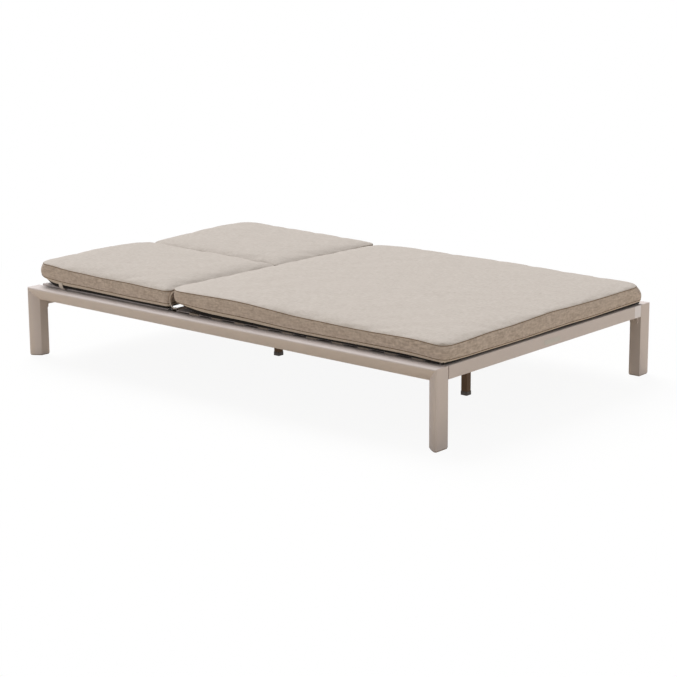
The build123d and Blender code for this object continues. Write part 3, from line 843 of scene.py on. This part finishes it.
# %% Round corners
def laid(xs, ys, box, radii, draws, pushes, z):
    """The grid at one level: each corner square becomes a quarter disc, u sqrt(1 - v v / 2),
    and each edge is drawn in between its corners by 1 - t t times its draw. A push moves the
    points about a corner by a bell curve."""
    (x0, y0), (x1, y1) = box
    half = np.array([(x1 - x0) / 2, (y1 - y0) / 2])
    dx, dy = xs - (x0 + x1) / 2, ys - (y0 + y1) / 2
    corner = np.where(dy < 0, np.where(dx < 0, 0, 1), np.where(dx < 0, 3, 2))
    radius = radii[corner]
    u = np.clip((np.abs(dx) - half[0] + radius) / radius, 0, 1)
    v = np.clip((np.abs(dy) - half[1] + radius) / radius, 0, 1)
    x = xs + np.sign(dx) * (u * np.sqrt(1 - v * v / 2) - u) * radius
    y = ys + np.sign(dy) * (v * np.sqrt(1 - u * u / 2) - v) * radius
    s, t = dx / half[0], dy / half[1]
    left, right, foot, head = (d * MM for d in draws)
    x = x + (1 - t * t) * np.where(s < 0, -s * left, -s * right)
    y = y + (1 - s * s) * np.where(t < 0, -t * foot, -t * head)
    for (side, end), (push_x, push_y), reach in pushes:
        apart = (dx - side * half[0]) ** 2 + (dy - end * half[1]) ** 2
        near = np.exp(-apart / (2 * (reach * MM) ** 2)) * MM
        x, y = x + push_x * near, y + push_y * near
    return np.stack([x, y, z], -1).reshape(-1, 3)


# %% [markdown]
# ### Border
# The border bulges by a few millimetres on an open side and less where two cushions meet. Its
# second and ninth rows carry the two piped seams. The strips outside them are welts, turned
# over from the top panel and from a pale edge of the bottom panel.

# %% Border
BORDER_SHARES = np.array([0.025, 0.055, 0.13, 0.26, 0.41, 0.57, 0.72, 0.84, 0.915, 0.96])
BORDER_HEIGHT = 60 * MM
TOP_SEAM_ROW = 1
LOW_SEAM_ROW = 8
BULGES = (3 * MM, 1 * MM)


def rim(rows, columns):
    """Indices of a grid's border, in order, counter clockwise seen from above."""
    grid = np.arange(rows * columns).reshape(rows, columns)
    return np.concatenate([grid[0, :-1], grid[:-1, -1], grid[-1, :0:-1], grid[:0:-1, 0]])


def outward(ring):
    """Level unit vectors that point out of a closed ring of points."""
    along = np.roll(ring, -1, 0) - np.roll(ring, 1, 0)
    return unit(np.stack([along[:, 1], -along[:, 0], 0 * along[:, 0]], -1))


def border(high, mid, low, out, bulges):
    """Rings on the parabola through three levels, whose middle bulges by the part of each side's
    bulge that its direction faces, squared."""
    facing = np.stack([-out[:, 0], out[:, 0], -out[:, 1], out[:, 1]], 1)
    mid = mid + out * (np.maximum(facing, 0) ** 2 @ bulges)[:, None]
    s = BORDER_SHARES[:, None, None]
    band = high * (1 - s) * (1 - 2 * s) + mid * 4 * s * (1 - s) + low * s * (2 * s - 1)
    return band.reshape(-1, 3)


# %% Faces and finishes of a cover
TOP, BORDER, BACKING, UNDER_WELT = range(4)
BACKING_FROM = EDGE_ROWS[1] * 1.01


def cover_faces(rows, columns):
    """Quads of the top grid, the bottom grid turned over, and each strip of the border, with the
    rings of the border from top to bottom."""
    ring, count = rim(rows, columns), rows * columns
    around, bands = len(ring), len(BORDER_SHARES)
    base = np.arange(count).reshape(rows, columns)
    quads = np.stack([base[:-1, :-1], base[:-1, 1:], base[1:, 1:], base[1:, :-1]], -1)
    panel = quads.reshape(-1, 4)
    shift = count + around * bands
    between = [count + around * i + np.arange(around) for i in range(bands)]
    rings = [ring] + between + [ring + shift]
    strips = [
        np.stack([b, np.roll(b, -1), np.roll(a, -1), a], -1)
        for a, b in zip(rings[:-1], rings[1:])
    ]
    return panel, np.concatenate([panel, panel[:, ::-1] + shift] + strips), rings


def strip_finishes():
    """Finish of each strip: top cloth over the top seam, border cloth down to the low seam, and
    the welt's cloth under it."""
    rows = np.arange(len(BORDER_SHARES) + 1)
    return np.where(rows <= TOP_SEAM_ROW, TOP, np.where(rows <= LOW_SEAM_ROW, BORDER, UNDER_WELT))


# %% [markdown]
# ### One cushion
# The parts above come together here: heights, round corners, border and faces. A modelled box
# with a subdivision would be quicker to make, but its rows wouldn't lie where the seams run.

# %% Cushion
WELT = 3 * MM


class Cushion:
    """The grid of one cushion before it is blown up."""

    def __init__(self, box, step, radii, top, bottom, plateau, draws, phase, sides, insets, dips,
                 pushes=()):
        left, right, foot, head = np.array(insets) * MM
        (x0, y0), (x1, y1) = box
        x0, x1, y0, y1 = x0 + left, x1 - right, y0 + foot, y1 - head
        xs, ys = np.meshgrid(graded(x0, x1, step), graded(y0, y1, step))
        inward = np.array([xs - x0, x1 - xs, ys - y0, y1 - ys])
        edge = inward.min(0)
        u, v = (xs - x0) / (x1 - x0), (ys - y0) / (y1 - y0)
        seam_top = edge_surface(top, u, v) + WELT
        seam_low = np.maximum(edge_surface(bottom, u, v), LOWEST)
        middle = nine_heights(plateau, u, v) + settled(xs, ys, phase)
        heights = (
            top_panel(middle, seam_top, edge, inward, sides),
            (seam_top + seam_low) / 2,
            underside(seam_low, edge, inward, dips),
        )
        upper, between, lower = (
            laid(xs, ys, ((x0, y0), (x1, y1)), level_radii, draws, pushes, z)
            for level_radii, z in zip(np.array(radii, float).T * MM, heights)
        )
        ring = rim(*xs.shape)
        self.out = outward(between[ring])
        band = border(upper[ring], between[ring], lower[ring], self.out, np.where(sides, *BULGES))
        self.points = np.concatenate([upper, band, lower])
        self.finish(*cover_faces(*xs.shape), edge.reshape(-1))

    def finish(self, panel, faces, rings, edge):
        """Keeps the faces, the finish of each face, the distance to the seam and the seams."""
        around = len(rings[0])
        backing = np.where(edge[panel].max(1) > BACKING_FROM, BACKING, UNDER_WELT)
        self.faces = faces.tolist()
        self.finish_index = np.concatenate([
            np.full(len(panel), TOP), backing, np.repeat(strip_finishes(), around),
        ])
        distance = np.minimum(BORDER_SHARES, 1 - BORDER_SHARES) * BORDER_HEIGHT
        self.reach = np.concatenate([edge, np.repeat(distance, around), edge])
        self.top_seam, self.low_seam = rings[1 + TOP_SEAM_ROW], rings[1 + LOW_SEAM_ROW]
        self.low_start = len(self.points) - len(edge)


# %% [markdown]
# ### Blowing up a cover
# A short cloth simulation without gravity blows up the cover between its seams, which are held.
# The cloth is cut a little larger than the foam, so it puckers along the stitching as real
# covers do. A soft limit keeps any point from moving far, and the whole underside is held.

# %% Simulation
COVER_PRESSURE = 0.2
COVER_GROWTH = 0.006
MOVE_LIMIT = 2.5 * MM
SIM_FRAMES = 20


def vertices_of(made):
    """The points of a mesh object as an array."""
    flat = np.empty(len(made.data.vertices) * 3)
    made.data.vertices.foreach_get("co", flat)
    return flat.reshape(-1, 3)


def inflate(made, held):
    """Cloth with pressure inside and some points held; a shift of length d then becomes
    limit * d / (limit + d), which never passes the limit."""
    rest = vertices_of(made)
    group = made.vertex_groups.new(name="held")
    group.add([int(i) for i in held], 1.0, "REPLACE")
    cloth = made.modifiers.new("cloth", "CLOTH")
    cloth.settings.quality = 6
    cloth.settings.mass = 0.3
    cloth.settings.tension_stiffness = 12
    cloth.settings.compression_stiffness = 12
    cloth.settings.shear_stiffness = 4
    cloth.settings.bending_stiffness = 1.5
    cloth.settings.shrink_min = -COVER_GROWTH
    cloth.settings.use_pressure = True
    cloth.settings.uniform_pressure_force = COVER_PRESSURE
    cloth.settings.effector_weights.gravity = 0
    cloth.settings.vertex_group_mass = group.name
    cloth.collision_settings.use_collision = False
    scene = bpy.context.scene
    for step in range(1, SIM_FRAMES + 1):
        scene.frame_set(step)
    seen = made.evaluated_get(bpy.context.evaluated_depsgraph_get())
    moved = vertices_of(seen)
    made.modifiers.remove(cloth)
    made.vertex_groups.remove(group)
    scene.frame_set(1)
    shift = moved - rest
    length = np.linalg.norm(shift, axis=1, keepdims=True)
    final = rest + shift * MOVE_LIMIT / (MOVE_LIMIT + length)
    final[:, 2] = np.maximum(final[:, 2], LOWEST)
    made.data.vertices.foreach_set("co", final.reshape(-1))
    made.data.update()
    print(made.name, "largest move before the limit:", round(float(length.max()) / MM, 1), "mm")


# %% [markdown]
# ### Piping
# The border is sewn on a few millimetres inside each edge, so a light welt of top cloth stands
# over a thin cord of piping, painted dark as the shade in the seam. The cord is a round tube
# carried along a cubic B-spline that follows the seam's points. A bevelled curve could do it too,
# but the grid's own points keep it on the seam.

# %% Piping along both seams
PIPING_RADIUS = 1.5 * MM
PIPING_SUNK = 0.5 * MM


def spline_loop(points, fine=3):
    """Closed cubic B-spline: for each step f, the sum of four points in a row, weighed by
    (1 - f)^3, 3 f^3 - 6 f^2 + 4, -3 f^3 + 3 f^2 + 3 f + 1 and f^3, divided by six."""
    f = np.arange(fine)[None, :, None] / fine
    before, here = np.roll(points, 1, 0)[:, None], points[:, None]
    after, later = np.roll(points, -1, 0)[:, None], np.roll(points, -2, 0)[:, None]
    mixed = (before * (1 - f) ** 3 + here * (3 * f ** 3 - 6 * f ** 2 + 4)
             + after * (-3 * f ** 3 + 3 * f ** 2 + 3 * f + 1) + later * f ** 3) / 6
    return mixed.reshape(-1, 3)


def loop_tube(path, radius, sides=8):
    """Rings of a circle carried round a closed path; one axis of each ring is upright."""
    along = unit(np.roll(path, -1, 0) - np.roll(path, 1, 0))
    side = unit(np.cross(along, (0.0, 0.0, 1.0)))
    lift = np.cross(side, along)
    angle = np.linspace(0, 2 * np.pi, sides, endpoint=False)[None, :, None]
    return path[:, None] + radius * (np.cos(angle) * side[:, None] + np.sin(angle) * lift[:, None])


def pipe(cushion, made, body):
    """A tube of piping along both seams of a finished cushion, joined into one piece."""
    points = vertices_of(made)
    cords = []
    for seam in (cushion.top_seam, cushion.low_seam):
        rings = loop_tube(spline_loop(points[seam] - cushion.out * PIPING_SUNK), PIPING_RADIUS)
        cords.append((rings, skin(*rings.shape[:2], closed=True)))
    return piece(made.name + "_piping", *joined(cords), piping_painted_shade_cloth, body, "cushion_fabric")


# %% [markdown]
# ### Measured heights
# The stations are read off the photograph, in millimetres above the ground: for both seams along
# the left, right, foot and head edges, then nine for the middle in rows from foot to head. The
# near corner of the seat sinks, the foot edge sags, the fold lifts, and the head edges swell in
# the middle. The radii go round from the left foot corner. Draws, open sides, insets and dips
# are in the edges' order, and a push moves a corner (left or right, foot or head) by a shift.

# %% Heights and radii
SEAT = dict(
    step=13.5 * MM,
    radii=((50, 38, 38), (66, 22, 20), (60, 45, 45), (80, 78, 82)),
    top=(
        (331, 338, 336, 334.7, 337, 339, 346, 352.3, 352.5, 350, 349),
        (338, 340, 341, 343, 347.5, 348, 347, 347, 349.5, 348, 338),
        (331, 331.5, 335.5, 335, 338, 341.5, 338.5, 337, 336.5, 337.5, 338),
        (349, 347.5, 346.5, 346, 345.5, 345.5, 346, 346, 346, 344, 338),
    ),
    bottom=(
        (283, 290, 291, 290.5, 289, 289, 292, 296, 297.5, 302, 309),
        (283, 288, 289, 290, 290, 290, 290, 290, 291, 291, 292),
        (283, 279, 278, 277, 277, 278.5, 280, 278, 279.5, 281.5, 283),
        (309, 295, 291, 290, 290, 290, 290, 290, 290, 291, 292),
    ),
    plateau=((346, 349, 349), (359, 364, 360), (356, 357, 353)),
    draws=(3, 3, 2, 0), phase=0.4, sides=(True, True, True, False), insets=(3, 3, -1, 0),
    dips=(SIDE_DIP, SIDE_DIP, FOOT_DIP, None),
)
BACK_LEFT = dict(
    step=11.5 * MM,
    radii=((26, 20, 24), (22, 17, 19), (35, 30, 30), (68, 48, 52)),
    top=(
        (341, 343, 345.5, 345.7, 346, 349, 351, 358, 359),
        (341, 345, 349, 351, 352, 353, 354, 356, 357),
        (341, 342, 342, 342, 341),
        (358, 359.5, 365.5, 364.5, 355.5),
    ),
    bottom=(
        (293, 292.5, 291.5, 293, 294, 295.5, 296, 300, 310),
        (290, 290, 290, 290, 290, 290, 290, 290, 290),
        (293, 291, 290, 290, 290),
        (310, 297, 291, 290, 290),
    ),
    plateau=((359, 364, 360), (367, 371, 365), (365, 375, 364)),
    draws=(3, 0, 0, 0.4), phase=1.9, sides=(True, False, False, True), insets=(3, 0, 0, 3),
    dips=(SIDE_DIP, None, None, None),
    pushes=(((-1, -1), (0, -13), 34),),
)
BACK_RIGHT = dict(
    step=11.5 * MM,
    radii=((20, 16, 18), (30, 25, 25), (70, 50, 50), (52, 42, 42)),
    top=(
        (343, 346, 349, 351, 352.5, 354, 355, 354, 349),
        (343, 346.5, 349.5, 351.5, 353.5, 355.5, 356, 358, 360),
        (343, 346, 347, 347, 346),
        (348, 350.5, 353.5, 360.5, 365.5, 364.5, 360),
    ),
    bottom=((290,) * 9, (290,) * 9, (290,) * 5, (290,) * 5),
    plateau=((362, 364, 359), (368, 373, 367), (362, 376, 373)),
    draws=(0, 3, 0, 0.4), phase=3.3, sides=(False, True, False, True), insets=(0, 3, 0, 3),
    dips=(None, SIDE_DIP, None, None),
)

# %% The three cushions
for name, body, settings in (
    ("seat_cushion", "base", SEAT),
    ("backrest_cushion_left", "cushion_left", BACK_LEFT),
    ("backrest_cushion_right", "cushion_right", BACK_RIGHT),
):
    low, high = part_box(name)
    outline = ((float(low.x), float(low.y)), (float(high.x), float(high.y)))
    cushion = Cushion(outline, **settings)
    cover = piece(name + "_cover", cushion.points, cushion.faces, top_cloth, None, "cushion_fabric")
    for cloth in (border_cloth_painted_shade, backing_painted_shade_cloth, welt_cloth):
        cover.data.materials.append(cloth)
    cover.data.polygons.foreach_set("material_index", cushion.finish_index)
    reach = cover.data.attributes.new("seam_reach", "FLOAT", "POINT")
    reach.data.foreach_set("value", cushion.reach)
    held = np.concatenate([
        cushion.top_seam, cushion.low_seam, np.arange(cushion.low_start, len(cushion.points)),
    ])
    inflate(cover, held)
    smoother = cover.modifiers.new("smooth", "SUBSURF")
    smoother.levels = smoother.render_levels = 1
    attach(cover, body)
    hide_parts(name)
    pipe(cushion, cover, body)
    print(name, "faces:", len(cushion.faces))

# %% [markdown]
# ### Straps
# Webbing straps hold the cushions. One turns round each outer tube of the backrests and runs up
# to the bottom seam. At each end of the fold, a narrow loop is sewn to the back of the seat
# cushion. Each is a flat band carried along a line of points, with a little thickness. A curve
# with a flat bevel may twist on its way, but here the width keeps to one axis.

# %% Webbing
STRAP_THICKNESS = 1.5 * MM
STRAP_STEPS = 6


def band(path, width):
    """A flat band in an upright plane: path gives (across, z) points, width runs the third way.
    The rounded line is a Catmull-Rom curve, and the band is thickened along its normal."""
    path = np.asarray(path, float)
    t = np.linspace(0, 1, STRAP_STEPS * (len(path) - 1) + 1)
    line = np.stack([through_stations(path[:, i] / MM, t) for i in (0, 1)], -1)
    along = unit(np.gradient(line, axis=0))
    normal = np.stack([-along[:, 1], along[:, 0]], -1) * STRAP_THICKNESS / 2
    flat = np.stack([line + normal, line + normal, line - normal, line - normal], 1)
    width_way = np.array([-1.0, 1.0, 1.0, -1.0]) * width / 2
    return flat, np.broadcast_to(width_way, flat.shape[:2])


def strap(name, path, width, middle, width_axis, body, mirror=1):
    """A strap whose width runs along X or along Y, about a middle."""
    flat, across = band(path, width)
    if width_axis == 0:
        rings = np.stack([middle + across, flat[..., 0], flat[..., 1]], -1)
    else:
        rings = np.stack([mirror * flat[..., 0], middle + across, flat[..., 1]], -1)
    return piece(name, rings, skin(*rings.shape[:2]), webbing_cloth, body, "webbing", sharp_degrees=50)


# %% Loops at the fold
FOLD_STRAP_WIDTH = 5.5 * MM
FOLD_STRAP_PLACE = 590 * MM
FOLD_STRAP = np.array([
    (226, 347), (237, 341), (246.5, 328), (250.5, 313),
    (247.5, 298.5), (238, 288), (224, 284), (212, 288),
]) * MM
for side, word in ((-1, "left"), (1, "right")):
    strap("fold_strap_" + word, FOLD_STRAP, FOLD_STRAP_WIDTH, side * FOLD_STRAP_PLACE, 0, "base")
print("fold loops: 2")

# %% Loops round the tubes
STRAP_TOWARD_FOOT = 14 * MM
TUBE_LOOP = np.array([
    (594, 297), (592.5, 286), (588, 276.5), (581, 270.9), (575.5, 266), (573.6, 257), (571, 249),
    (559.5, 247.8), (548, 249), (545.8, 262), (546.2, 274),
]) * MM
strap_low, strap_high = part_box("backrest_straps_left")
STRAP_MIDDLE = float(strap_low.y + strap_high.y) / 2 - STRAP_TOWARD_FOOT
STRAP_WIDTH = float(strap_high.y - strap_low.y)
for side, word in ((-1, "left"), (1, "right")):
    loop = strap("tube_strap_" + word, TUBE_LOOP, STRAP_WIDTH, STRAP_MIDDLE, 1,
                 "cushion_" + word, mirror=side)
    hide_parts("backrest_straps_" + word)
print("tube loops:", round(STRAP_WIDTH / MM, 1), "mm wide")

# %% [markdown]
# ## Floor and light
# The floor is a plain pale sheet. To the camera it is nearly white near the object, where it
# still shows the soft shadow, and fully white farther off, while what it throws back at the
# object is that of a light studio floor. A wide key light falls from behind, from high on the
# right. Two long lamps stand low at the sides, and an even world fills in the rest.

# %% Floor finish
FLOOR_HALF = 60.0
SHADOW_NEAR = 0.9
SHADOW_FAR = 2.6
WHITE_NEAR = 0.92
WHITE = (1.0, 1.0, 1.0, 1.0)
FLOOR_CLOUD_MM = 400.0


def camera_sees(tree):
    """1 for what the camera sees by itself, in a reflection or through glass, else 0."""
    path = node(tree, "ShaderNodeLightPath").outputs
    direct = arithmetic(tree, "MAXIMUM", path["Is Camera Ray"], path["Is Glossy Ray"])
    return arithmetic(tree, "MAXIMUM", direct, path["Is Transmission Ray"])


def floor_finish():
    """Painted studio floor: white to the camera with a faint shadow, warm grey as bounce."""
    made, tree, shader, place = material("painted_floor_white")
    tree.nodes.remove(shader)
    shade = node(tree, "ShaderNodeBsdfDiffuse", values={"Color": WHITE})
    glow = node(tree, "ShaderNodeEmission", values={"Color": WHITE, "Strength": 1.0})
    distance = node(tree, "ShaderNodeVectorMath", {0: place}, operation="LENGTH").outputs["Value"]
    white = spread(tree, distance, SHADOW_NEAR, SHADOW_FAR, WHITE_NEAR, 1.0)
    seen = node(tree, "ShaderNodeMixShader", {0: white, 1: shade.outputs[0], 2: glow.outputs[0]})
    cloud = grain(tree, place, FLOOR_CLOUD_MM)
    tone = blend_colours(tree, cloud, linear("CBBDA5"), linear("D3C5AD"))
    bounce = node(tree, "ShaderNodeBsdfDiffuse", {"Color": tone})
    halves = {0: camera_sees(tree), 1: bounce.outputs[0], 2: seen.outputs[0]}
    both = node(tree, "ShaderNodeMixShader", halves)
    tree.links.new(both.outputs[0], tree.nodes["Material Output"].inputs["Surface"])
    return made


# %% Floor sheet
corners = np.array([(-1, -1, 0), (1, -1, 0), (1, 1, 0), (-1, 1, 0)]) * FLOOR_HALF
floor_mesh = bpy.data.meshes.new("floor")
floor_mesh.from_pydata(corners.tolist(), [], [(0, 1, 2, 3)])
floor_mesh.materials.append(floor_finish())
floor = placed("floor", floor_mesh)
print("floor:", 2 * FLOOR_HALF, "m wide")

# %% Lamps
TARGET = Vector((0.0, 0.0, 0.22))
KEY_FROM = Vector((0.30, 0.55, 0.78))
KEY_ANGLE = math.radians(40)
KEY_STRENGTH = 2.87
SOFTBOXES = (
    ("left_softbox", (-4.6, 1.4, 0.8), (3.2, 0.9), 31.0),
    ("foot_softbox", (0.2, -4.4, 0.32), (3.2, 0.5), 27.5),
)

key_data = bpy.data.lights.new("key", "SUN")
key_data.energy = KEY_STRENGTH
key_data.angle = KEY_ANGLE
key = placed("key", key_data)
key.rotation_euler = (-KEY_FROM).to_track_quat("-Z", "Y").to_euler()

for name, place, (width, height), power in SOFTBOXES:
    lamp_data = bpy.data.lights.new(name, "AREA")
    lamp_data.shape = "RECTANGLE"
    lamp_data.size, lamp_data.size_y = width, height
    lamp_data.energy = power
    lamp = placed(name, lamp_data)
    lamp.location = place
    lamp.rotation_euler = (TARGET - Vector(place)).to_track_quat("-Z", "Y").to_euler()
    lamp.visible_camera = False

print("lamps:", 1 + len(SOFTBOXES))

# %% World
WORLD_FILL = 0.26
FILL_COLOUR = (1.0, 0.965, 0.925, 1.0)

world = bpy.data.worlds.new("studio")
world.use_nodes = True
bpy.context.scene.world = world
tree = world.node_tree
strengths = {2: WORLD_FILL, 3: 1.0}
level = node(tree, "ShaderNodeMix", {0: camera_sees(tree)}, strengths, data_type="FLOAT")
tree.links.new(level.outputs[0], tree.nodes["Background"].inputs["Strength"])
sky = blend_colours(tree, camera_sees(tree), FILL_COLOUR, WHITE)
tree.links.new(sky, tree.nodes["Background"].inputs["Color"])

bpy.context.scene.view_settings.view_transform = "Standard"
print("world fill:", WORLD_FILL)
